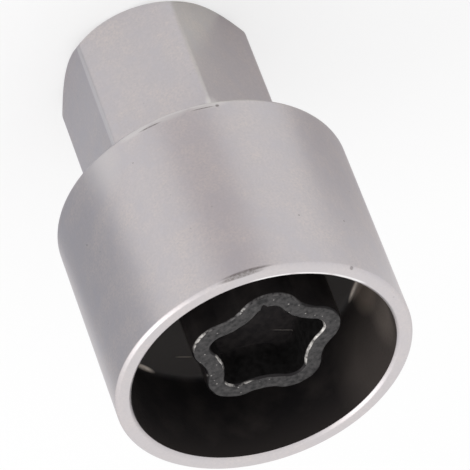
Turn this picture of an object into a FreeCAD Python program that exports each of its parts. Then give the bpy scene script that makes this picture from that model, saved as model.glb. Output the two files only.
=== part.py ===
# Wheel lock key, the adapter between a wheel brace and a locking wheel bolt.
# It is one forged and turned piece of steel: a hexagon for the brace, a solid middle, and a round cup in
# which a raised wavy ring stands. The ring enters the matching groove in the head of the bolt.
# Frame in millimetres: origin at the centre of the hexagon's end face, +Z along the axis to the mouth of the
# cup, +X through a corner of the hexagon. The key stands on its hexagon with the mouth up.

import FreeCAD
import Part
import Sketcher

import math
import os

SIZES = {
    # Hexagon for the wheel brace
    "across_flats": 17.0,
    "hex_length": 18.7,
    "hex_corner_round": 0.7,
    "hex_chamfer_height": 1.8,   # along the axis, at the corners
    "hex_chamfer_angle": 50.0,   # from the end face
    # Cup
    "cup_diameter": 28.5,
    "cup_length": 21.0,
    "cup_wall": 1.55,
    "bore_depth": 10.3,
    "shoulder_round": 0.5,
    "rim_chamfer": 0.3,
    "floor_round": 0.8,
    # Wavy ring in the cup: convex arcs on the lobes, concave arcs in the valleys between them
    "ring_recess": 2.35,         # from the rim down to the ring's end face
    "ring_wall": 1.8,
    "ring_edge_chamfer": 0.2,
    "lobe_count": 5,
    "lobe_seat": 4.3,            # from the ring's centre to the centre of a lobe's arc
    "lobe_radius": 3.1,
    "valley_radius": 3.9,
    "pocket_depth": 4.0,         # from the ring's end face down into the ring
    "pattern_offset": 0.86,      # the ring stands off the axis of the cup, along one of its lobes
    "pattern_angle": 176.0,      # of that lobe, from +X
}

doc = FreeCAD.newDocument("WheelLockKey")
sheet = doc.addObject("Spreadsheet::Sheet", "Sizes")
for row, (alias, value) in enumerate(SIZES.items(), start=1):
    sheet.set(f"A{row}", alias)
    sheet.set(f"B{row}", str(value))
    sheet.setAlias(f"B{row}", alias)
doc.recompute()

# Heights and radii that several features share, as expressions on the sheet
HEX_CORNER = "Sizes.across_flats / sqrt(3)"
CUP_RADIUS = "Sizes.cup_diameter / 2"
BORE_RADIUS = "(Sizes.cup_diameter / 2 - Sizes.cup_wall)"
SHOULDER_HEIGHT = "Sizes.hex_length"
RIM_HEIGHT = "(Sizes.hex_length + Sizes.cup_length)"
FLOOR_HEIGHT = f"({RIM_HEIGHT} - Sizes.bore_depth)"
RING_FACE_HEIGHT = f"({RIM_HEIGHT} - Sizes.ring_recess)"

TOUCH = 1e-4


def number(expression):
    """The value of an expression on the sheet."""
    return float(sheet.evalExpression(expression.replace("Sizes.", "")))


def sketch_on(body, name, role):
    """An empty sketch on one of the body's own origin planes."""
    plane = next(feature for feature in body.Origin.OriginFeatures if feature.Role == role)
    sketch = body.newObject("Sketcher::SketchObject", name)
    sketch.AttachmentSupport = (plane, [""])
    sketch.MapMode = "FlatFace"
    return sketch


def constrain(sketch, expression, kind, *where):
    """A dimension on the sketch, bound to an expression on the sheet."""
    value = number(expression)
    if kind == "Angle":
        value = math.radians(value)
    index = sketch.addConstraint(Sketcher.Constraint(kind, *where, value))
    sketch.setExpression(f"Constraints[{index}]", expression)


def closed_outline(sketch, corners):
    """Straight lines through the corners, each corner given by two expressions."""
    points = [FreeCAD.Vector(number(x), number(y), 0) for x, y in corners]
    lines = [
        sketch.addGeometry(Part.LineSegment(start, end), False)
        for start, end in zip(points, points[1:] + points[:1])
    ]
    for line, following in zip(lines, lines[1:] + lines[:1]):
        sketch.addConstraint(Sketcher.Constraint("Coincident", line, 2, following, 1))
    for line, (x, y) in zip(lines, corners):
        for expression, kind, axis in ((x, "DistanceX", -2), (y, "DistanceY", -1)):
            if abs(number(expression)) < TOUCH:
                sketch.addConstraint(Sketcher.Constraint("PointOnObject", line, 1, axis))
            else:
                constrain(sketch, expression, kind, -1, 1, line, 1)


def edge_names(shape, wanted):
    """Names of the edges that the test accepts."""
    return [f"Edge{n}" for n, edge in enumerate(shape.Edges, start=1) if wanted(edge)]


def is_circle(edge, radius, height):
    """Whether the edge is a level circle of this radius at this height."""
    if not isinstance(edge.Curve, Part.Circle):
        return False
    return abs(edge.Curve.Radius - radius) < TOUCH and lies_at(edge, height)


def lies_at(edge, height):
    """Whether the whole edge lies at this height."""
    return abs(edge.BoundBox.ZMin - height) < TOUCH and abs(edge.BoundBox.ZMax - height) < TOUCH


def dress(body, kind, name, base, edges, size_name, alias):
    """A fillet or chamfer on edges of the base, with its size from the sheet."""
    if not edges:
        raise RuntimeError(f"{name} found no edge")
    feature = body.newObject(kind, name)
    feature.Base = (base, edges)
    feature.setExpression(size_name, f"Sizes.{alias}")
    doc.recompute()
    return feature


def lobe_sector(body, name, height, lobe_radius, valley_radius):
    """A sketch of one lobe with half a valley on each side, closed at the ring's centre.

    The lobe points along the sketch's own X, and the sketch stands at the ring's centre.
    """
    sketch = sketch_on(body, name, "XY_Plane")
    sketch.setExpression("AttachmentOffset.Base.x", "Sizes.pattern_offset * cos(Sizes.pattern_angle)")
    sketch.setExpression("AttachmentOffset.Base.y", "Sizes.pattern_offset * sin(Sizes.pattern_angle)")
    sketch.setExpression("AttachmentOffset.Base.z", height)
    sketch.setExpression("AttachmentOffset.Rotation.Angle", "Sizes.pattern_angle")

    half_step = math.radians(number("180 / Sizes.lobe_count"))
    seat = number("Sizes.lobe_seat")
    convex = number(lobe_radius)
    concave = number(valley_radius)
    reach = seat * math.cos(half_step) + math.sqrt((convex + concave) ** 2 - (seat * math.sin(half_step)) ** 2)
    upper = FreeCAD.Vector(reach * math.cos(half_step), reach * math.sin(half_step), 0)
    lower = FreeCAD.Vector(upper.x, -upper.y, 0)
    seat_point = FreeCAD.Vector(seat, 0, 0)
    turn = math.atan2(upper.y, upper.x - seat)
    valley_share = (reach - concave) / reach
    centre = FreeCAD.Vector(0, 0, 0)
    up = FreeCAD.Vector(0, 0, 1)

    lobe_arc, upper_arc, lower_arc, upper_side, lower_side = [
        sketch.addGeometry(shape, False) for shape in (
            Part.ArcOfCircle(Part.Circle(seat_point, up, convex), -turn, turn),
            Part.ArcOfCircle(Part.Circle(upper, up, concave), math.pi + half_step, math.pi + turn),
            Part.ArcOfCircle(Part.Circle(lower, up, concave), math.pi - turn, math.pi - half_step),
            Part.LineSegment(centre, upper * valley_share),
            Part.LineSegment(centre, lower * valley_share),
        )
    ]
    for rule in (
        ("Coincident", upper_side, 1, -1, 1),
        ("Coincident", lower_side, 1, -1, 1),
        ("Coincident", upper_side, 2, upper_arc, 1),
        ("Coincident", lower_side, 2, lower_arc, 2),
        ("PointOnObject", upper_arc, 3, upper_side),
        ("PointOnObject", lower_arc, 3, lower_side),
        ("PointOnObject", lobe_arc, 3, -1),
        ("Tangent", lobe_arc, 2, upper_arc, 2),
        ("Tangent", lobe_arc, 1, lower_arc, 1),
    ):
        sketch.addConstraint(Sketcher.Constraint(*rule))
    constrain(sketch, "180 / Sizes.lobe_count", "Angle", -1, 1, upper_side, 1)
    constrain(sketch, "180 / Sizes.lobe_count", "Angle", lower_side, 1, -1, 1)
    constrain(sketch, "Sizes.lobe_seat", "DistanceX", -1, 1, lobe_arc, 3)
    constrain(sketch, lobe_radius, "Radius", lobe_arc)
    constrain(sketch, valley_radius, "Radius", upper_arc)
    constrain(sketch, valley_radius, "Radius", lower_arc)
    return sketch


def round_pattern(body, name, feature, sketch):
    """The feature repeated once for each lobe, about the ring's own axis."""
    pattern = body.newObject("PartDesign::PolarPattern", name)
    pattern.Originals = [feature]
    pattern.Axis = (sketch, ["N_Axis"])
    pattern.Angle = 360
    pattern.setExpression("Occurrences", "Sizes.lobe_count")
    body.Tip = pattern
    doc.recompute()
    return pattern


def must_cut(before, feature):
    """Stops the build where a cut took nothing away."""
    if feature.Shape.Volume > before.Shape.Volume - TOUCH:
        raise RuntimeError(f"{feature.Name} cuts nothing")


key = doc.addObject("PartDesign::Body", "Key")
key.Label = "wheel_lock_key"

# Cup: a turned profile with a solid bottom and a plain bore
cup_profile = sketch_on(key, "CupProfile", "XZ_Plane")
closed_outline(cup_profile, [
    ("0", SHOULDER_HEIGHT),
    (CUP_RADIUS, SHOULDER_HEIGHT),
    (CUP_RADIUS, RIM_HEIGHT),
    (BORE_RADIUS, RIM_HEIGHT),
    (BORE_RADIUS, FLOOR_HEIGHT),
    ("0", FLOOR_HEIGHT),
])
cup = key.newObject("PartDesign::Revolution", "Cup")
cup.Profile = cup_profile
cup.ReferenceAxis = (cup_profile, ["V_Axis"])
cup.Angle = 360
doc.recompute()

# Hexagon below the cup, with rounded corners
hex_outline = sketch_on(key, "HexOutline", "XY_Plane")
closed_outline(hex_outline, [
    (f"{HEX_CORNER} * cos({angle})", f"{HEX_CORNER} * sin({angle})") for angle in range(0, 360, 60)
])
hexagon = key.newObject("PartDesign::Pad", "Hexagon")
hexagon.Profile = hex_outline
hexagon.setExpression("Length", SHOULDER_HEIGHT)
doc.recompute()


def is_hex_corner(edge):
    """Whether the edge is one of the hexagon's six upright corners."""
    middle = edge.BoundBox.Center
    upright = abs(edge.BoundBox.ZLength - edge.Length) < TOUCH
    return upright and abs(math.hypot(middle.x, middle.y) - number(HEX_CORNER)) < TOUCH


hex_rounds = dress(key, "PartDesign::Fillet", "HexRounds", hexagon,
                   edge_names(hexagon.Shape, is_hex_corner), "Radius", "hex_corner_round")

# Turned chamfer on the end of the hexagon: a cone that cuts the corners deepest
chamfer_profile = sketch_on(key, "HexChamferProfile", "XZ_Plane")
closed_outline(chamfer_profile, [
    (f"{HEX_CORNER} - Sizes.hex_chamfer_height / tan(Sizes.hex_chamfer_angle)", "0"),
    (HEX_CORNER, "0"),
    (HEX_CORNER, "Sizes.hex_chamfer_height"),
])
hex_chamfer = key.newObject("PartDesign::Groove", "HexChamfer")
hex_chamfer.Profile = chamfer_profile
hex_chamfer.ReferenceAxis = (chamfer_profile, ["V_Axis"])
hex_chamfer.Angle = 360
doc.recompute()
must_cut(hex_rounds, hex_chamfer)

# Edges of the cup: rounded shoulder, broken rim, radius at the foot of the bore
shoulder = dress(key, "PartDesign::Fillet", "ShoulderRound", hex_chamfer,
                 edge_names(hex_chamfer.Shape,
                            lambda edge: is_circle(edge, number(CUP_RADIUS), number(SHOULDER_HEIGHT))),
                 "Radius", "shoulder_round")
rim = dress(key, "PartDesign::Chamfer", "RimChamfers", shoulder,
            edge_names(shoulder.Shape,
                       lambda edge: lies_at(edge, number(RIM_HEIGHT))),
            "Size", "rim_chamfer")
bore_foot = dress(key, "PartDesign::Fillet", "BoreFootRound", rim,
                  edge_names(rim.Shape,
                             lambda edge: is_circle(edge, number(BORE_RADIUS), number(FLOOR_HEIGHT))),
                  "Radius", "floor_round")

# Wavy ring: a boss of lobes on the floor of the bore, then a pocket inside it that leaves an even wall
boss_sector = lobe_sector(key, "BossSector", FLOOR_HEIGHT, "Sizes.lobe_radius", "Sizes.valley_radius")
boss_lobe = key.newObject("PartDesign::Pad", "BossLobe")
boss_lobe.Profile = boss_sector
boss_lobe.setExpression("Length", "Sizes.bore_depth - Sizes.ring_recess")
doc.recompute()
boss = round_pattern(key, "Boss", boss_lobe, boss_sector)

pocket_sector = lobe_sector(key, "PocketSector", RING_FACE_HEIGHT,
                            "Sizes.lobe_radius - Sizes.ring_wall",
                            "Sizes.valley_radius + Sizes.ring_wall")
pocket_lobe = key.newObject("PartDesign::Pocket", "PocketLobe")
pocket_lobe.Profile = pocket_sector
pocket_lobe.setExpression("Length", "Sizes.pocket_depth")
doc.recompute()
must_cut(boss, pocket_lobe)
pocket = round_pattern(key, "Pocket", pocket_lobe, pocket_sector)
must_cut(pocket_lobe, pocket)

ring_edges = dress(key, "PartDesign::Chamfer", "RingEdges", pocket,
                   edge_names(pocket.Shape, lambda edge: lies_at(edge, number(RING_FACE_HEIGHT))),
                   "Size", "ring_edge_chamfer")
key.Tip = ring_edges
doc.recompute()

failed = [item.Name for item in doc.Objects if "Invalid" in item.State or "Error" in item.State]
if failed:
    raise RuntimeError(f"features failed: {failed}")
if key.Shape.isNull() or not key.Shape.isValid() or len(key.Shape.Solids) != 1:
    raise RuntimeError("the key is not one valid solid")

os.makedirs("parts", exist_ok=True)
key.Shape.exportStep(f"parts/{key.Label}.step")
print(f"{key.Label}: {key.Shape.Volume:.1f} mm3, {key.Shape.BoundBox}")
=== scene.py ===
import math

import bmesh
import bpy
from mathutils import Matrix, Vector, noise


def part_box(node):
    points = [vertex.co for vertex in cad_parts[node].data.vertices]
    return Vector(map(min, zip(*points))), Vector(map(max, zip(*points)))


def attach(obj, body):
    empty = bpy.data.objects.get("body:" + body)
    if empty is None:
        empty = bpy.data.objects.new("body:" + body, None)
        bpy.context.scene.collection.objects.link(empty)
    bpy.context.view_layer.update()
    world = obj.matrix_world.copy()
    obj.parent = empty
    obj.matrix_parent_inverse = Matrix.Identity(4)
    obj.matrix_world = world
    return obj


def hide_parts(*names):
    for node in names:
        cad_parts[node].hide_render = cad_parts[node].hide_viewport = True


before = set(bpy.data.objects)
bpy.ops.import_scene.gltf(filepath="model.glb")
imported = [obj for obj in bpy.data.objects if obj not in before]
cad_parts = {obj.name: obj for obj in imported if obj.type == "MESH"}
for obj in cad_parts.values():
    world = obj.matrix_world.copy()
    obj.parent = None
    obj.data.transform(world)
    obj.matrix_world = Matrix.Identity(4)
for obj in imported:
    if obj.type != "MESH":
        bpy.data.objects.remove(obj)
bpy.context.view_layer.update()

# The wheel lock key is one piece of hardened steel: a hexagon for the wheel brace and, in the cup at the
# other end, a wavy ring that enters the groove in the bolt's head. Its skin starts as the hexagon's end
# and is extruded from outline to outline: up the outside, over the rim, down the bore and over the ring.
MM = 0.001
POINTS_AROUND = 720
high_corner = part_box("wheel_lock_key")[1]
RIM_HEIGHT = high_corner.z
CUP_RADIUS = high_corner.x
CUP_WALL = 1.55 * MM
BORE_DEPTH = 10.3 * MM
BORE_RADIUS = CUP_RADIUS - CUP_WALL
BORE_FLOOR = RIM_HEIGHT - BORE_DEPTH
RIM_CHAMFER = 0.3 * MM
HEX_LENGTH = 18.7 * MM
ACROSS_FLATS = 17.0 * MM
HEX_CORNER_ROUND = 0.7 * MM
HEX_CHAMFER_HEIGHT = 1.8 * MM
HEX_CHAMFER_SLOPE = math.tan(math.radians(50))
HEX_END_RADIUS = ACROSS_FLATS / math.sqrt(3) - HEX_CHAMFER_HEIGHT / HEX_CHAMFER_SLOPE
RING_RECESS = 2.35 * MM
RING_FACE = RIM_HEIGHT - RING_RECESS
RING_WALL = 1.8 * MM
RING_EDGE = 0.2 * MM
RING_WEAR = 0.09 * MM  # how far wear moves the ring's edges
RING_WEAR_STEP = 0.6 * MM  # the length along an edge over which that changes
POCKET_DEPTH = 4.0 * MM
POCKET_FLOOR = RING_FACE - POCKET_DEPTH
LOBES = 5
LOBE_SEAT = 4.3 * MM
LOBE_RADIUS = 3.1 * MM
VALLEY_RADIUS = 3.9 * MM
PATTERN_OFFSET = 0.86 * MM  # the ring stands off the axis of the cup, towards one of its lobes
PATTERN_ANGLE = math.radians(176)
AXIS = Vector((0, 0))
RING_CENTRE = PATTERN_OFFSET * Vector((math.cos(PATTERN_ANGLE), math.sin(PATTERN_ANGLE)))
SHOULDER_ROUND = 0.5 * MM
FLOOR_ROUND = 0.8 * MM
HEX_WORN_ROUND = 0.2 * MM  # wear where the hexagon's flats meet its chamfer
WORN_ROUND = 0.06 * MM  # wear on the rest of the edges


def hexagon(angle):
    """Distance from the axis to the hexagon, whose corners are rounded, in this direction."""
    half_side = math.pi / 6
    turn = abs((angle + half_side) % (2 * half_side) - half_side)
    seat = (ACROSS_FLATS / 2 - HEX_CORNER_ROUND) / math.cos(half_side)
    round_ends = math.atan2(HEX_CORNER_ROUND / 2, seat + HEX_CORNER_ROUND * math.cos(half_side))
    if turn < round_ends:
        return seat * math.cos(turn) + math.sqrt(HEX_CORNER_ROUND ** 2 - (seat * math.sin(turn)) ** 2)
    return ACROSS_FLATS / 2 / math.cos(half_side - turn)


def wave(inset):
    """An outline inside the ring's outer one by this much: lobe arcs that meet valley arcs smoothly."""
    lobe, valley = LOBE_RADIUS - inset, VALLEY_RADIUS + inset
    half_step = math.pi / LOBES
    reach = LOBE_SEAT * math.cos(half_step)
    reach += math.sqrt((lobe + valley) ** 2 - (LOBE_SEAT * math.sin(half_step)) ** 2)
    valley_seat = Vector((reach * math.cos(half_step), reach * math.sin(half_step)))
    meet = Vector((LOBE_SEAT, 0)).lerp(valley_seat, lobe / (lobe + valley))
    meet_angle = math.atan2(meet.y, meet.x)

    def distance(angle):
        turn = abs((angle - PATTERN_ANGLE + half_step) % (2 * half_step) - half_step)
        if turn < meet_angle:
            return LOBE_SEAT * math.cos(turn) + math.sqrt(lobe ** 2 - (LOBE_SEAT * math.sin(turn)) ** 2)
        rest = half_step - turn
        return reach * math.cos(rest) - math.sqrt(valley ** 2 - (reach * math.sin(rest)) ** 2)
    return distance


def worn_wave(inset):
    """A wave outline at an edge that is worn unevenly."""
    even = wave(inset)

    def distance(angle):
        along = Vector((math.cos(angle), math.sin(angle), inset / RING_WALL))
        return even(angle) + RING_WEAR * noise.noise(along * LOBE_SEAT / RING_WEAR_STEP)
    return distance


def circle(radius):
    """A round outline."""
    return lambda angle: radius


def level(height):
    """The same height all round."""
    return lambda distance: height


def chamfer_height(distance):
    """Height of the hexagon's end chamfer at this distance from the axis."""
    return (distance - HEX_END_RADIUS) * HEX_CHAMFER_SLOPE


skin = bmesh.new()
around = skin.verts.layers.float.new("around")
bmesh.ops.create_circle(skin, cap_ends=True, segments=POINTS_AROUND, radius=HEX_END_RADIUS)
for point in skin.verts:
    point[around] = math.atan2(point.co.y, point.co.x)
rings = {"hex_end": list(skin.edges)}

# Each outline has a name, the finish of the band that leads up to it, its centre, its distance from that
# centre by angle, and its height by distance.
NICKEL, OXIDE, RING_FACE_FINISH, RING_EDGE_FINISH, SCALE = range(5)
OUTLINES = (
    ("hex_chamfer", NICKEL, AXIS, hexagon, chamfer_height),
    ("hex_foot", NICKEL, AXIS, hexagon, level(HEX_LENGTH)),
    ("shoulder", NICKEL, AXIS, circle(CUP_RADIUS), level(HEX_LENGTH)),
    ("rim_outside", NICKEL, AXIS, circle(CUP_RADIUS), level(RIM_HEIGHT - RIM_CHAMFER)),
    ("rim_outer", NICKEL, AXIS, circle(CUP_RADIUS - RIM_CHAMFER), level(RIM_HEIGHT)),
    ("rim_inner", NICKEL, AXIS, circle(BORE_RADIUS + RIM_CHAMFER), level(RIM_HEIGHT)),
    ("rim_inside", NICKEL, AXIS, circle(BORE_RADIUS), level(RIM_HEIGHT - RIM_CHAMFER)),
    ("bore_foot", OXIDE, AXIS, circle(BORE_RADIUS), level(BORE_FLOOR)),
    ("ring_root", OXIDE, RING_CENTRE, wave(0), level(BORE_FLOOR)),
    ("ring_outside", OXIDE, RING_CENTRE, wave(0), level(RING_FACE - RING_EDGE)),
    ("ring_outer", RING_EDGE_FINISH, RING_CENTRE, worn_wave(RING_EDGE), level(RING_FACE)),
    ("ring_inner", RING_FACE_FINISH, RING_CENTRE, worn_wave(RING_WALL - RING_EDGE), level(RING_FACE)),
    ("ring_inside", RING_EDGE_FINISH, RING_CENTRE, wave(RING_WALL), level(RING_FACE - RING_EDGE)),
    ("pocket_foot", SCALE, RING_CENTRE, wave(RING_WALL), level(POCKET_FLOOR)),
)
last = rings["hex_end"]
for name, finish, centre, outline, height in OUTLINES:
    grown = bmesh.ops.extrude_edge_only(skin, edges=last)["geom"]
    points = [part for part in grown if isinstance(part, bmesh.types.BMVert)]
    for point in points:
        distance = outline(point[around])
        point.co.x = centre.x + distance * math.cos(point[around])
        point.co.y = centre.y + distance * math.sin(point[around])
        point.co.z = height(distance)
    for band in grown:
        if isinstance(band, bmesh.types.BMFace):
            band.material_index = finish
    moved = set(points)
    edges = [part for part in grown if isinstance(part, bmesh.types.BMEdge)]
    last = [edge for edge in edges if moved.issuperset(edge.verts)]
    rings[name] = last
for pocket_floor in bmesh.ops.contextual_create(skin, geom=last)["faces"]:
    pocket_floor.material_index = SCALE
bmesh.ops.recalc_face_normals(skin, faces=skin.faces)

# A chip is broken out of the ring's inner edge.
CHIP_PLACE = Vector((-2.45, -5.15)) * MM
CHIP_WIDTH = 0.4 * MM
CHIP_DEPTH = 0.5 * MM
for edge in rings["ring_inner"] + rings["ring_inside"]:
    point = edge.verts[0]
    to_chip = point.co.xy - CHIP_PLACE
    chipped = max(0.0, 1 - to_chip.length / CHIP_WIDTH)
    outwards = (point.co.xy - RING_CENTRE).normalized()
    point.co.xy += outwards * CHIP_DEPTH * chipped
    point.co.z -= CHIP_DEPTH * chipped

# The rounds on the edges: a size, the steps that it is drawn in and the outlines that get it.
ROUNDS = (
    (SHOULDER_ROUND, 8, ("shoulder",)),
    (FLOOR_ROUND, 8, ("bore_foot",)),
    (HEX_WORN_ROUND, 4, ("hex_chamfer",)),
    (WORN_ROUND, 2, ("hex_end", "hex_foot", "rim_outside", "rim_outer", "rim_inner", "rim_inside",
                     "ring_root", "ring_outside", "ring_outer", "ring_inner", "ring_inside",
                     "pocket_foot")),
)
for radius, segments, names in ROUNDS:
    edges = [edge for name in names for edge in rings[name] if edge.is_valid]
    bmesh.ops.bevel(skin, geom=edges, offset=radius, affect="EDGES", segments=segments, profile=0.5,
                    material=-1)
for face in skin.faces:
    face.smooth = True

key_mesh = bpy.data.meshes.new("lock_key")
skin.to_mesh(key_mesh)
skin.free()
key = bpy.data.objects.new("lock_key", key_mesh)
bpy.context.scene.collection.objects.link(key)
flat_faces = key.modifiers.new("flat faces stay flat", "WEIGHTED_NORMAL")
flat_faces.weight = 100  # the largest faces decide


def linear(hex_colour):
    """An sRGB hex colour as linear red, green, blue and alpha."""
    shares = [int(hex_colour[i:i + 2], 16) / 255 for i in (1, 3, 5)]
    return [s / 12.92 if s <= 0.04045 else ((s + 0.055) / 1.055) ** 2.4 for s in shares] + [1.0]


def add_node(tree, kind, inputs=None, **settings):
    """Adds a node with its settings. Each input, by identifier, gets a value, a socket or a node."""
    node = tree.nodes.new(kind)
    for name, value in settings.items():
        setattr(node, name, value)
    sockets = {socket.identifier: socket for socket in node.inputs}
    for name, value in (inputs or {}).items():
        if isinstance(value, bpy.types.Node):
            value = next(output for output in value.outputs if output.enabled)
        if isinstance(value, bpy.types.NodeSocket):
            tree.links.new(value, sockets[name])
        else:
            sockets[name].default_value = value
    return node


def new_material(name):
    """An empty node material, its node tree and the place on the piece that its patterns read."""
    material = bpy.data.materials.new(name)
    material.use_nodes = True
    material.node_tree.nodes.clear()
    coordinates = add_node(material.node_tree, "ShaderNodeTexCoord")
    return material, material.node_tree, coordinates.outputs["Object"]


MARK_FADE = 0.45  # the outer share of a mark in which it fades


def add_marks(tree, place, marks):
    """A mask of small marks. Each has the angle, distance and height of its middle about the key's axis,
    the heading of its length, and its length, width and depth, in degrees and millimetres."""
    masks = []
    for angle, distance, height, heading, length, width, depth in marks:
        turn = math.radians(angle)
        centre = Vector((distance * math.cos(turn), distance * math.sin(turn), height)) * MM
        local = add_node(tree, "ShaderNodeMapping",
                         {"Vector": place, "Location": centre, "Rotation": (0, 0, math.radians(heading)),
                          "Scale": Vector((length, width, depth)) / 2 * MM}, vector_type="TEXTURE")
        mark = add_node(tree, "ShaderNodeTexGradient", {"Vector": local}, gradient_type="SPHERICAL")
        masks.append(mark.outputs["Fac"])
    mask = masks[0]
    for other in masks[1:]:
        mask = add_node(tree, "ShaderNodeMath", {"Value": mask, "Value_001": other}, operation="MAXIMUM")
    return add_node(tree, "ShaderNodeMapRange", {"Value": mask, "From Max": MARK_FADE})


# Satin nickel plate over turned steel: a soft, slightly warm metal gloss with a fine pearl grain and faint
# clouds. Painted highlights brighten the hexagon's corners, the shoulder's edge, a patch on the cup
# above the shoulder, the rim and the rim's inner edge. Wear has left it duller in a scuff below the rim,
# in small nicks and in a few pits, and dark dashes just above the shoulder's edge are painted shade.
satin_nickel, tree, place = new_material("satin_nickel_plate")
CLOUD_SIZE = 3.0 * MM
GRAIN_SIZE = 0.22 * MM  # the real grain is too fine to show, so it is drawn coarser
PIT_SPACING = 2.2 * MM
SCUFFS_AND_SHADE_DASHES = (
    (260, 14.1, 39.50, 350, 5.0, 1.2, 0.36),
    (257.8, 14.2, 39.29, 347.8, 5.4, 1.4, 0.46),
    # These three dark dashes just above the shoulder's edge are painted shade.
    (272, 14.2, 19.45, 2, 2.6, 1.0, 0.2),
    (251, 14.2, 19.45, 341, 2.6, 1.0, 0.16),
    (245.5, 14.2, 19.45, 335, 0.45, 0.6, 0.42),
    (215.6, 14.2, 39.55, 306, 0.5, 0.6, 0.42),
    (209.9, 14.25, 33.35, 300, 0.22, 0.5, 0.22),
    (230.5, 14.25, 33.63, 320, 0.2, 0.5, 0.2),
    (282.8, 14.25, 22.25, 13, 0.18, 0.5, 0.14),
    (316.3, 14.25, 25.50, 46, 0.2, 0.5, 0.22),
)
# Painted highlights along the hexagon's corners, and a shorter one on a face beside a corner.
HEX_CORNER_HIGHLIGHTS = (
    (0, 9.6, 10.0, 0, 1.0, 0.6, 40.0),
    (60, 9.6, 10.0, 60, 1.0, 0.6, 40.0),
    (120, 9.6, 10.0, 120, 1.0, 0.6, 40.0),
    (180, 9.6, 10.0, 180, 1.0, 0.6, 40.0),
    (236.8, 9.35, 15.0, 300, 2.4, 0.8, 2.6),
    (301, 9.6, 10.0, 301, 1.0, 0.6, 40.0),
)
# Painted highlights along the shoulder's rounded edge.
SHOULDER_EDGE_HIGHLIGHTS = (
    (249, 14.1, 19.05, 339, 4.6, 1.6, 1.4),
    (264, 14.1, 19.05, 354, 4.6, 1.6, 1.4),
    (278, 14.1, 19.05, 8, 4.2, 1.6, 1.4),
)
# A painted highlight on the cup just above the shoulder.
PAINTED_LIGHT_PATCH = (
    (296, 16.4, 19.5, 26, 9.0, 6.0, 14.0),
)
# Painted highlights along the near stretch of the rim's inner edge.
RIM_INNER_EDGE_HIGHLIGHTS = (
    (248, 13.0, 39.68, 338, 4.6, 0.5, 0.4),
    (231, 13.0, 39.68, 321, 4.6, 0.5, 0.4),
    (214, 13.0, 39.68, 304, 4.6, 0.5, 0.4),
)
clouds = add_node(tree, "ShaderNodeTexNoise", {"Vector": place, "Scale": 1 / CLOUD_SIZE, "Detail": 4.0,
                                               "Roughness": 0.7})
grain = add_node(tree, "ShaderNodeTexNoise", {"Vector": place, "Scale": 1 / GRAIN_SIZE, "Detail": 3.0})
pit_cells = add_node(tree, "ShaderNodeTexVoronoi", {"Vector": place, "Scale": 1 / PIT_SPACING})
pits = add_node(tree, "ShaderNodeMapRange", {"Value": pit_cells.outputs["Distance"], "From Min": 0.02,
                                             "From Max": 0.05, "To Min": 0.35, "To Max": 0.0})
patchy = add_node(tree, "ShaderNodeMapRange", {"Value": grain.outputs["Fac"], "From Min": 0.35,
                                               "From Max": 0.6, "To Min": 0.6})
scuffs_and_shade_dashes = add_marks(tree, place, SCUFFS_AND_SHADE_DASHES)
scuffs_and_shade_dashes = add_node(tree, "ShaderNodeMath", {"Value": scuffs_and_shade_dashes, "Value_001": patchy}, operation="MULTIPLY")
# The dull mask holds real scuffs, nicks and pits, and the painted shade along the shoulder's edge.
worn = add_node(tree, "ShaderNodeMath", {"Value": scuffs_and_shade_dashes, "Value_001": pits}, operation="MAXIMUM")
tint = add_node(tree, "ShaderNodeMapRange", {"Value": clouds.outputs["Fac"], "From Min": 0.35,
                                             "From Max": 0.65})
plate = add_node(tree, "ShaderNodeMix", {"Factor_Float": tint, "A_Color": linear("#C4C0C4"),
                                         "B_Color": linear("#D1C9C7")}, data_type="RGBA")
pearl = add_node(tree, "ShaderNodeMapRange", {"Value": grain.outputs["Fac"], "From Min": 0.3,
                                              "From Max": 0.7})
plate = add_node(tree, "ShaderNodeMix", {"Factor_Float": pearl, "A_Color": linear("#C2BDBF"),
                                         "B_Color": plate}, data_type="RGBA")
# Painted highlights on the hexagon's corners.
bright = add_marks(tree, place, HEX_CORNER_HIGHLIGHTS)
plate = add_node(tree, "ShaderNodeMix", {"Factor_Float": bright, "A_Color": plate,
                                         "B_Color": linear("#D9D5D5")}, data_type="RGBA")
height = add_node(tree, "ShaderNodeSeparateXYZ", {"Vector": place}).outputs["Z"]
# The rim's top is painted lighter: a painted highlight.
on_rim = add_node(tree, "ShaderNodeMapRange", {"Value": height, "From Min": RIM_HEIGHT - RIM_CHAMFER,
                                               "From Max": RIM_HEIGHT, "To Max": 0.35})
plate = add_node(tree, "ShaderNodeMix", {"Factor_Float": on_rim, "A_Color": plate,
                                         "B_Color": linear("#D5D0D0")}, data_type="RGBA")
# Painted highlights on the shoulder's edge and on the cup above it.
painted_highlights = add_marks(tree, place, SHOULDER_EDGE_HIGHLIGHTS + PAINTED_LIGHT_PATCH)
plate = add_node(tree, "ShaderNodeMix", {"Factor_Float": painted_highlights, "A_Color": plate,
                                         "B_Color": linear("#D1CDCD")}, data_type="RGBA")
# A painted highlight on the rim's inner edge.
painted_rim_edge_highlight = add_marks(tree, place, RIM_INNER_EDGE_HIGHLIGHTS)
plate = add_node(tree, "ShaderNodeMix", {"Factor_Float": painted_rim_edge_highlight, "A_Color": plate,
                                         "B_Color": linear("#F4F2F2")}, data_type="RGBA")
plate = add_node(tree, "ShaderNodeMix", {"Factor_Float": worn, "A_Color": plate,
                                         "B_Color": linear("#8A8483")}, data_type="RGBA")
roughness = add_node(tree, "ShaderNodeMapRange", {"Value": clouds.outputs["Fac"], "To Min": 0.34,
                                                  "To Max": 0.46})
relief = add_node(tree, "ShaderNodeBump", {"Height": grain.outputs["Fac"], "Strength": 0.25,
                                           "Distance": 0.02 * MM})
shader = add_node(tree, "ShaderNodeBsdfPrincipled",
                  {"Base Color": plate, "Metallic": 1.0, "Roughness": roughness, "Normal": relief})
add_node(tree, "ShaderNodeOutputMaterial", {"Surface": shader})

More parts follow.
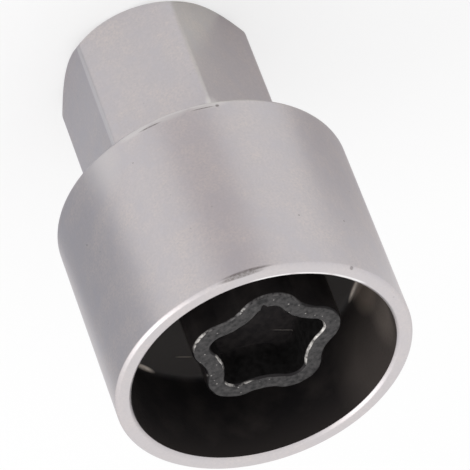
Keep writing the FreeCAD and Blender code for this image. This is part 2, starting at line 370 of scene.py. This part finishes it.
# Black oxide left by hardening: a dark, half-glossy skin in blotches of random tone. It is painted lighter
# towards the mouth, as painted shade that darkens the bore with depth, and lighter on the floor, as
# painted light from the mouth. A large brown patch and two lighter patches along one side of the bore are
# painted reflections. The two light streaks in the floor's corner round are painted highlights, drawn as
# bare steel, and a fine bare scratch crosses the floor.
black_oxide, tree, place = new_material("black_oxide")
BLOTCH_SIZE = 3.0 * MM
GRIT_SIZE = 0.3 * MM
# Two painted highlights in the floor's corner round, drawn as bare steel, and a real scratch on the floor.
SCRATCH_AND_CORNER_HIGHLIGHTS = (
    (143, 12.35, 29.75, 233, 4.4, 0.5, 0.9),
    (25, 12.35, 29.75, 115, 3.2, 0.5, 0.9),
    (41, 9.95, 29.40, 142, 2.0, 0.2, 0.4),
)
# A painted brown reflection on one side of the bore.
BROWN_REFLECTION_PATCH = (
    (150, 12.7, 36.5, 240, 24.0, 9.0, 17.0),
)
# A painted reflection: a lighter patch low on that side of the bore.
CORNER_REFLECTION_PATCH = (
    (151, 12.65, 30.2, 241, 7.6, 2.6, 7.0),
)
# A painted reflection: a lighter patch higher on that side of the bore.
WALL_REFLECTION_PATCH = (
    (158, 12.7, 34.0, 248, 7.4, 5.0, 11.0),
)
blotches = add_node(tree, "ShaderNodeTexNoise", {"Vector": place, "Scale": 1 / BLOTCH_SIZE, "Detail": 4.0})
grit = add_node(tree, "ShaderNodeTexNoise", {"Vector": place, "Scale": 1 / GRIT_SIZE, "Detail": 3.0})
thin = add_node(tree, "ShaderNodeMapRange", {"Value": blotches.outputs["Fac"], "From Min": 0.4,
                                             "From Max": 0.7})
scratch_and_corner_highlights = add_marks(tree, place, SCRATCH_AND_CORNER_HIGHLIGHTS)
# The painted brown reflection.
brown = add_marks(tree, place, BROWN_REFLECTION_PATCH)
brown = add_node(tree, "ShaderNodeMapRange", {"Value": brown, "To Max": 0.8})
height = add_node(tree, "ShaderNodeSeparateXYZ", {"Vector": place}).outputs["Z"]
# Painted shade: the bore's oxide is lighter towards the mouth and darker deeper down.
near_mouth = add_node(tree, "ShaderNodeMapRange", {"Value": height, "From Min": RING_FACE - RING_WALL,
                                                   "From Max": RIM_HEIGHT})
blotches_and_depth_shade = add_node(tree, "ShaderNodeMath", {"Value": thin, "Value_001": near_mouth}, operation="MAXIMUM")
oxide = add_node(tree, "ShaderNodeMix", {"Factor_Float": blotches_and_depth_shade, "A_Color": linear("#1F1D1E"),
                                         "B_Color": linear("#322E2D")}, data_type="RGBA")
oxide = add_node(tree, "ShaderNodeMix", {"Factor_Float": brown, "A_Color": oxide,
                                         "B_Color": linear("#4D4744")}, data_type="RGBA")
# Painted reflections on one side of the bore.
corner_reflection = add_marks(tree, place, CORNER_REFLECTION_PATCH)
corner_reflection = add_node(tree, "ShaderNodeMapRange", {"Value": corner_reflection, "To Max": 0.8})
wall_reflection = add_marks(tree, place, WALL_REFLECTION_PATCH)
oxide = add_node(tree, "ShaderNodeMix", {"Factor_Float": wall_reflection, "A_Color": oxide,
                                         "B_Color": linear("#665E59")}, data_type="RGBA")
oxide = add_node(tree, "ShaderNodeMix", {"Factor_Float": corner_reflection, "A_Color": oxide,
                                         "B_Color": linear("#94877D")}, data_type="RGBA")
# Painted light: the floor, which faces the mouth, is lighter than the walls.
floor_painted_light = add_node(tree, "ShaderNodeMapRange", {"Value": height, "From Min": BORE_FLOOR + FLOOR_ROUND / 4,
                                                 "From Max": BORE_FLOOR})
oxide = add_node(tree, "ShaderNodeMix", {"Factor_Float": floor_painted_light, "A_Color": oxide,
                                         "B_Color": linear("#474443")}, data_type="RGBA")
# The painted highlights in the corner round and the real scratch, both drawn as bare steel.
oxide = add_node(tree, "ShaderNodeMix", {"Factor_Float": scratch_and_corner_highlights, "A_Color": oxide,
                                         "B_Color": linear("#B9AFA6")}, data_type="RGBA")
roughness = add_node(tree, "ShaderNodeMapRange", {"Value": grit.outputs["Fac"], "To Min": 0.32,
                                                  "To Max": 0.56})
relief = add_node(tree, "ShaderNodeBump", {"Height": grit.outputs["Fac"], "Strength": 0.4,
                                           "Distance": 0.03 * MM})
shader = add_node(tree, "ShaderNodeBsdfPrincipled",
                  {"Base Color": oxide, "Metallic": scratch_and_corner_highlights, "Roughness": roughness, "Normal": relief,
                   "Specular IOR Level": 0.15})
add_node(tree, "ShaderNodeOutputMaterial", {"Surface": shader})

# Thick hardening scale inside the ring, where little rubs it: a dull, flaky skin, nearly black on the
# walls. The floor is painted a little lighter, as painted light from the mouth, and has one fine scratch.
hardening_scale, tree, place = new_material("hardening_scale")
POCKET_SCRATCH = (
    (123, 4.98, 33.35, 142, 3.2, 0.14, 0.4),
)
FLAKE_SIZE = 0.6 * MM
POCKET_FADE = 1.0 * MM  # the floor's lighter tone ends this far up the wall
flakes = add_node(tree, "ShaderNodeTexNoise", {"Vector": place, "Scale": 1 / FLAKE_SIZE, "Detail": 4.0})
flakes = add_node(tree, "ShaderNodeMapRange", {"Value": flakes.outputs["Fac"], "From Min": 0.35,
                                               "From Max": 0.65})
scratch = add_marks(tree, place, POCKET_SCRATCH)
on_wall = add_node(tree, "ShaderNodeMix", {"Factor_Float": flakes, "A_Color": linear("#121111"),
                                           "B_Color": linear("#1C1B1B")}, data_type="RGBA")
on_pocket_floor = add_node(tree, "ShaderNodeMix", {"Factor_Float": flakes, "A_Color": linear("#201E1F"),
                                                   "B_Color": linear("#2D2A2A")}, data_type="RGBA")
height = add_node(tree, "ShaderNodeSeparateXYZ", {"Vector": place}).outputs["Z"]
# Painted light: the pocket's floor is lighter than its walls, fading up the wall.
low = add_node(tree, "ShaderNodeMapRange", {"Value": height, "From Min": POCKET_FLOOR + POCKET_FADE,
                                            "From Max": POCKET_FLOOR})
scale_colour = add_node(tree, "ShaderNodeMix", {"Factor_Float": low, "A_Color": on_wall,
                                                "B_Color": on_pocket_floor}, data_type="RGBA")
scale_colour = add_node(tree, "ShaderNodeMix", {"Factor_Float": scratch, "A_Color": scale_colour,
                                                "B_Color": linear("#8C8682")}, data_type="RGBA")
roughness = add_node(tree, "ShaderNodeMapRange", {"Value": flakes, "To Min": 0.5, "To Max": 0.7})
relief = add_node(tree, "ShaderNodeBump", {"Height": flakes, "Strength": 0.4, "Distance": 0.03 * MM})
shader = add_node(tree, "ShaderNodeBsdfPrincipled",
                  {"Base Color": scale_colour, "Metallic": scratch, "Roughness": roughness,
                   "Normal": relief, "Specular IOR Level": 0.05})
add_node(tree, "ShaderNodeOutputMaterial", {"Surface": shader})

# The ring's end face: black oxide that use has worn to a speckled dark grey, with painted glints, small
# bright specks that stand in for sparkle, and one dull pit.
rubbed_oxide, tree, place = new_material("rubbed_oxide")
SPECKLE_SIZE = 0.4 * MM
GLINT_SPACING = 0.7 * MM
FACE_PITS = (
    (247.5, 6.85, 37.35, 338, 1.4, 0.9, 1.0),
)
speckle = add_node(tree, "ShaderNodeTexNoise", {"Vector": place, "Scale": 1 / SPECKLE_SIZE, "Detail": 4.0})
speckle = add_node(tree, "ShaderNodeMapRange", {"Value": speckle.outputs["Fac"], "From Min": 0.3,
                                                "From Max": 0.7})
# Painted glints: small bright specks that stand in for sparkle.
glint_cells = add_node(tree, "ShaderNodeTexVoronoi", {"Vector": place, "Scale": 1 / GLINT_SPACING})
glints = add_node(tree, "ShaderNodeMapRange", {"Value": glint_cells.outputs["Distance"], "From Min": 0.06,
                                               "From Max": 0.14, "To Min": 0.6, "To Max": 0.0})
face_colour = add_node(tree, "ShaderNodeMix", {"Factor_Float": speckle, "A_Color": linear("#232223"),
                                               "B_Color": linear("#4B4949")}, data_type="RGBA")
face_colour = add_node(tree, "ShaderNodeMix", {"Factor_Float": glints, "A_Color": face_colour,
                                               "B_Color": linear("#C0BCB8")}, data_type="RGBA")
face_pits = add_marks(tree, place, FACE_PITS)
face_colour = add_node(tree, "ShaderNodeMix", {"Factor_Float": face_pits, "A_Color": face_colour,
                                               "B_Color": linear("#1A191A")}, data_type="RGBA")
relief = add_node(tree, "ShaderNodeBump", {"Height": speckle, "Strength": 0.5, "Distance": 0.03 * MM})
shader = add_node(tree, "ShaderNodeBsdfPrincipled",
                  {"Base Color": face_colour, "Metallic": 0.6, "Roughness": 0.5, "Normal": relief})
add_node(tree, "ShaderNodeOutputMaterial", {"Surface": shader})

# The ring's edges: the oxide is worn to bare steel in short bright stretches, placed where the edge
# catches the light, so they are painted highlights as well as wear. Along one side the edge is lighter
# grey, and elsewhere it is still dark.
bare_steel, tree, place = new_material("bare_steel_edge")
RUB_SIZE = 0.5 * MM
# Bright stretches of worn bare steel, placed where the edge catches the light: painted highlights as well
# as wear.
WORN_EDGE_HIGHLIGHTS = (
    (172, 6.6, 37.25, 80, 3.6, 1.6, 1.6),
    (158, 5.95, 37.25, 13, 2.8, 1.4, 1.6),
    (146, 5.2, 37.25, 46, 2.3, 1.2, 1.6),
    (129, 5.5, 37.25, 69, 1.8, 0.7, 1.6),
    (348.5, 3.85, 37.25, 98, 3.0, 1.4, 1.6),
    (37, 5.1, 37.25, 115, 2.0, 0.7, 1.6),
    (57, 4.8, 37.25, 175, 2.4, 0.7, 1.6),
    (310.5, 6.2, 37.25, 40, 3.4, 1.4, 1.6),
    (264.5, 6.1, 37.25, 48, 1.2, 0.5, 1.0),
    (3.4, 5.4, 37.25, 106, 0.5, 0.5, 0.8),
)
GREY_SIDE = (
    (258, 6.8, 37.25, 348, 17.0, 7.0, 3.0),
)
rub = add_node(tree, "ShaderNodeTexNoise", {"Vector": place, "Scale": 1 / RUB_SIZE, "Detail": 4.0})
rub = add_node(tree, "ShaderNodeMapRange", {"Value": rub.outputs["Fac"], "From Min": 0.35,
                                            "From Max": 0.6})
# Painted highlights on worn stretches of the edge.
bright = add_marks(tree, place, WORN_EDGE_HIGHLIGHTS)
bright = add_node(tree, "ShaderNodeMath", {"Value": bright, "Value_001": rub}, operation="MULTIPLY")
grey = add_marks(tree, place, GREY_SIDE)
grey = add_node(tree, "ShaderNodeMath", {"Value": grey, "Value_001": rub}, operation="MULTIPLY")
edge_colour = add_node(tree, "ShaderNodeMix", {"Factor_Float": grey, "A_Color": linear("#222021"),
                                               "B_Color": linear("#565454")}, data_type="RGBA")
edge_colour = add_node(tree, "ShaderNodeMix", {"Factor_Float": bright, "A_Color": edge_colour,
                                               "B_Color": linear("#C2BEBA")}, data_type="RGBA")
shader = add_node(tree, "ShaderNodeBsdfPrincipled",
                  {"Base Color": edge_colour, "Metallic": 0.8, "Roughness": 0.35})
add_node(tree, "ShaderNodeOutputMaterial", {"Surface": shader})

# The materials stand in the order of the finish numbers above.
for material in (satin_nickel, black_oxide, rubbed_oxide, bare_steel, hardening_scale):
    key_mesh.materials.append(material)
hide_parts("wheel_lock_key")
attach(key, "root")

# The floor is a plain white sheet, far wider than the view. What the camera and the metal see of it is
# partly plain white, so that the background stays white and only a soft shadow shows. It lies just under
# the key, so that it doesn't share a plane with the end face.
FLOOR_SIZE = 1.0
FLOOR_HEIGHT = -0.02 * MM
FLOOR_WHITE_SHARE = 0.6
sheet = bmesh.new()
bmesh.ops.create_grid(sheet, x_segments=1, y_segments=1, size=FLOOR_SIZE,
                      matrix=Matrix.Translation((0, 0, FLOOR_HEIGHT)))
floor_mesh = bpy.data.meshes.new("floor")
sheet.to_mesh(floor_mesh)
sheet.free()
floor = bpy.data.objects.new("floor", floor_mesh)
bpy.context.scene.collection.objects.link(floor)
white_sheet, tree, _ = new_material("white_sheet")
paper = add_node(tree, "ShaderNodeBsdfDiffuse", {"Color": linear("#EFEFEF")})
plain_white = add_node(tree, "ShaderNodeEmission", {"Color": linear("#FFFFFF"), "Strength": 1.0})
ray = add_node(tree, "ShaderNodeLightPath").outputs
seen = add_node(tree, "ShaderNodeMath", {"Value": ray["Is Camera Ray"], "Value_001": ray["Is Glossy Ray"]},
                operation="MAXIMUM")
seen = add_node(tree, "ShaderNodeMath", {"Value": seen, "Value_001": ray["Is Transmission Ray"]},
                operation="MAXIMUM")
white_share = add_node(tree, "ShaderNodeMath", {"Value": seen, "Value_001": FLOOR_WHITE_SHARE},
                       operation="MULTIPLY")
floor_look = add_node(tree, "ShaderNodeMixShader", {"Fac": white_share, "Shader": paper,
                                                    "Shader_001": plain_white})
add_node(tree, "ShaderNodeOutputMaterial", {"Surface": floor_look})
floor_mesh.materials.append(white_sheet)

# Grey sheets lie on the floor round the key, cut as parts of a ring. Only reflections show them: they give
# the sides of the key the soft bands that a room with darker corners gives. Each has a name, a colour, the
# angles where it starts and ends, in degrees, and its inner and outer radius, in millimetres.
GREY_SHEETS = (
    ("grey_sheet_left_near", "#D0D2D6", (-57, 28), (8.5, 28)),
    ("grey_sheet_left", "#AEB0B5", (-38, 31), (28, 120)),
    ("grey_sheet_right_near", "#D2CFCF", (140, 196), (8.5, 27)),
    ("grey_sheet_right_corner", "#EFF0EA", (196, 235), (8.5, 27)),
    ("grey_sheet_right", "#C4C1C2", (120, 186), (27, 54)),
    ("grey_sheet_front", "#CAC5C6", (-121, -88), (33, 120)),
)
SHEET_HEIGHT = 0.1 * MM
SHEET_STEPS = 16
for name, colour, angles, radii in GREY_SHEETS:
    start, end = (math.radians(angle) for angle in angles)
    sheet = bmesh.new()
    ends = [sheet.verts.new((radius * MM * math.cos(start), radius * MM * math.sin(start), SHEET_HEIGHT))
            for radius in radii]
    side = sheet.edges.new(ends)
    bmesh.ops.spin(sheet, geom=[*ends, side], cent=(0, 0, 0), axis=(0, 0, 1), angle=end - start,
                   steps=SHEET_STEPS)
    mesh = bpy.data.meshes.new(name)
    sheet.to_mesh(mesh)
    sheet.free()
    grey_sheet = bpy.data.objects.new(name, mesh)
    bpy.context.scene.collection.objects.link(grey_sheet)
    grey_card, tree, _ = new_material(name)
    shader = add_node(tree, "ShaderNodeBsdfDiffuse", {"Color": linear(colour)})
    add_node(tree, "ShaderNodeOutputMaterial", {"Surface": shader})
    mesh.materials.append(grey_card)
    grey_sheet.visible_camera = False
    grey_sheet.visible_shadow = False
    grey_sheet.visible_diffuse = False

# Studio light: an even white room, and one soft box up on the left that the rim's chamfers catch.
ROOM_STRENGTH = 1.05
world = bpy.data.worlds.new("white_room")
world.use_nodes = True
world.node_tree.nodes["Background"].inputs["Color"].default_value = linear("#FFFFFF")
world.node_tree.nodes["Background"].inputs["Strength"].default_value = ROOM_STRENGTH
bpy.context.scene.world = world
SOFT_BOX_WAY = Vector((0.71, -0.32, 0.64))
SOFT_BOX_DISTANCE = 0.4
SOFT_BOX_SIZE = 0.25
SOFT_BOX_WATTS = 0.35
SOFT_BOX_AIM = Vector((0, 0, 30)) * MM
lamp = bpy.data.lights.new("soft_box", "AREA")
lamp.size = SOFT_BOX_SIZE
lamp.energy = SOFT_BOX_WATTS
soft_box = bpy.data.objects.new("soft_box", lamp)
soft_box.location = SOFT_BOX_WAY.normalized() * SOFT_BOX_DISTANCE + SOFT_BOX_AIM
soft_box.rotation_euler = SOFT_BOX_WAY.to_track_quat("Z", "Y").to_euler()
bpy.context.scene.collection.objects.link(soft_box)

# Camera at the photograph's angle: from the side and above, rolled until the mouth points down and right.
CAMERA_TARGET = Vector((-1.598, 2.047, 22.20)) * MM
CAMERA_DISTANCE = 491.65 * MM
CAMERA_AZIMUTH = math.radians(-5.957)
CAMERA_ELEVATION = math.radians(38.50)
CAMERA_ROLL = math.radians(159.04)
CAMERA_LENS = 400.0
CAMERA_CLIP_START = 10 * MM
camera_data = bpy.data.cameras.new("camera")
camera_data.lens = CAMERA_LENS
camera_data.clip_start = CAMERA_CLIP_START
camera = bpy.data.objects.new("camera", camera_data)
camera_turn = (Matrix.Rotation(CAMERA_AZIMUTH, 4, "Z")
               @ Matrix.Rotation(math.pi / 2 - CAMERA_ELEVATION, 4, "X")
               @ Matrix.Rotation(CAMERA_ROLL, 4, "Z"))
camera_back = Matrix.Translation((0, 0, CAMERA_DISTANCE))
camera.matrix_world = Matrix.Translation(CAMERA_TARGET) @ camera_turn @ camera_back
bpy.context.scene.collection.objects.link(camera)
bpy.context.scene.camera = camera
bpy.context.scene.view_settings.view_transform = "Standard"
